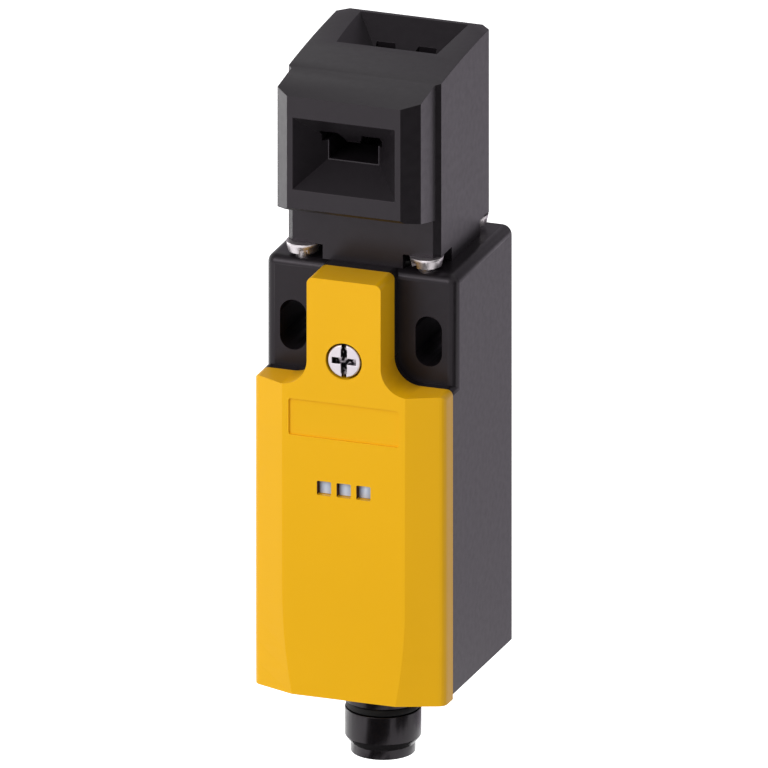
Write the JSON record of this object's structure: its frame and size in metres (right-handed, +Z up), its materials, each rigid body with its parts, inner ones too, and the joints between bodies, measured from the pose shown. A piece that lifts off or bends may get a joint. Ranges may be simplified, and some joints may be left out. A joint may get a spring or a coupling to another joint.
{
  "type": "tongue interlock switch",
  "caption": "Safety interlock switch: black body, hinged yellow cover, head with funnel entries at front and top for a tongue, round plug connector below.",
  "frame": {"origin": "on the back mounting face, midway between the two mounting slots", "axes": "+X to the right seen from the front, +Y towards the wall behind the switch, +Z up from the connector to the head"},
  "size_m": [0.031, 0.0325, 0.114],
  "materials": {
    "housing_plastic": "fine spark-eroded texture, black glass-filled thermoplastic",
    "head_plastic": "smooth satin, black glass-filled thermoplastic",
    "cover_plastic": "smooth satin, warm yellow thermoplastic",
    "lens": "translucent grey light guide",
    "rubber": "matt black nitrile rubber",
    "zinc_steel": "bright zinc plate",
    "plunger_steel": "ground stainless steel",
    "spring_steel": "drawn spring wire",
    "brass": "turned brass",
    "contact_brass": "stamped brass strip with silver-faced rivets",
    "cam_plastic": "moulded grey acetal",
    "bearing_plastic": "moulded dark acetal",
    "block_plastic": "dark grey thermoset",
    "cap_plastic": "light thermoplastic",
    "board": "green solder mask",
    "led": "clear resin on white base",
    "plug_plastic": "black thermoplastic connector body",
    "insert_plastic": "black contact insert",
    "pin_gold": "gold-plated brass pins",
    "nut_brass": "nickel-plated brass",
    "wire_red": "red insulation",
    "wire_blue": "blue insulation"
  },
  "bodies": {
    "base": {"housing": "housing_plastic", "cover_seal": "rubber", "cover_insert": "brass", "head_body": "head_plastic", "head_seal": "rubber", "head_screw_1": "zinc_steel", "head_screw_2": "zinc_steel", "head_screw_3": "zinc_steel", "head_screw_4": "zinc_steel", "cam_axle": "zinc_steel", "cam_bearing": "bearing_plastic", "plunger_bush": "brass", "plunger_spring": "spring_steel", "contact_base": "block_plastic", "contact_cap": "cap_plastic", "fixed_contact_upper_left": "contact_brass", "terminal_screw_upper_left": "zinc_steel", "terminal_clamp_upper_left": "zinc_steel", "wire_upper_left": "wire_red", "fixed_contact_upper_right": "contact_brass", "terminal_screw_upper_right": "zinc_steel", "terminal_clamp_upper_right": "zinc_steel", "wire_upper_right": "wire_red", "fixed_contact_lower_left": "contact_brass", "terminal_screw_lower_left": "zinc_steel", "terminal_clamp_lower_left": "zinc_steel", "wire_lower_left": "wire_blue", "fixed_contact_lower_right": "contact_brass", "terminal_screw_lower_right": "zinc_steel", "terminal_clamp_lower_right": "zinc_steel", "wire_lower_right": "wire_blue", "block_screw_left": "zinc_steel", "block_screw_right": "zinc_steel", "carrier_spring": "spring_steel", "led_board": "board", "led_left": "led", "led_middle": "led", "led_right": "led", "connector_shell": "plug_plastic", "connector_insert": "insert_plastic", "connector_pin_1": "pin_gold", "connector_pin_2": "pin_gold", "connector_pin_3": "pin_gold", "connector_pin_4": "pin_gold", "connector_pin_5": "pin_gold", "connector_seal": "rubber", "connector_nut": "nut_brass"},
    "cam": {"cam_wheel": "cam_plastic"},
    "plunger": {"head_plunger": "plunger_steel"},
    "carrier": {"contact_carrier": "cap_plastic", "bridge_upper": "contact_brass", "bridge_lower": "contact_brass", "contact_spring_upper": "spring_steel", "contact_spring_lower": "spring_steel"},
    "cover": {"cover": "cover_plastic", "cover_screw": "zinc_steel", "cover_screw_ring": "zinc_steel", "light_guide": "lens"}
  },
  "joints": [
    {"name": "cam_turn", "type": "hinge", "parent": "base", "child": "cam", "pos_m": [0, -0.0129, 0.0252], "axis": [-1, 0, 0], "range_deg": [0, 60]},
    {"name": "plunger_slide", "type": "slide", "parent": "base", "child": "plunger", "axis": [0, 0, 1], "range_m": [0, 0.00419], "deforming": ["plunger_spring"]},
    {"name": "carrier_slide", "type": "slide", "parent": "base", "child": "carrier", "axis": [0, 0, 1], "range_m": [0, 0.0042], "deforming": ["carrier_spring"]},
    {"name": "cover_hinge", "type": "hinge", "parent": "base", "child": "cover", "pos_m": [0, -0.0251, -0.056], "axis": [1, 0, 0], "range_deg": [0, 80]}
  ],
  "couplings": [
    {"joint": "cam_turn", "follows": "plunger_slide", "rad_per_m": 250},
    {"joint": "carrier_slide", "follows": "plunger_slide", "ratio": 1}
  ]
}
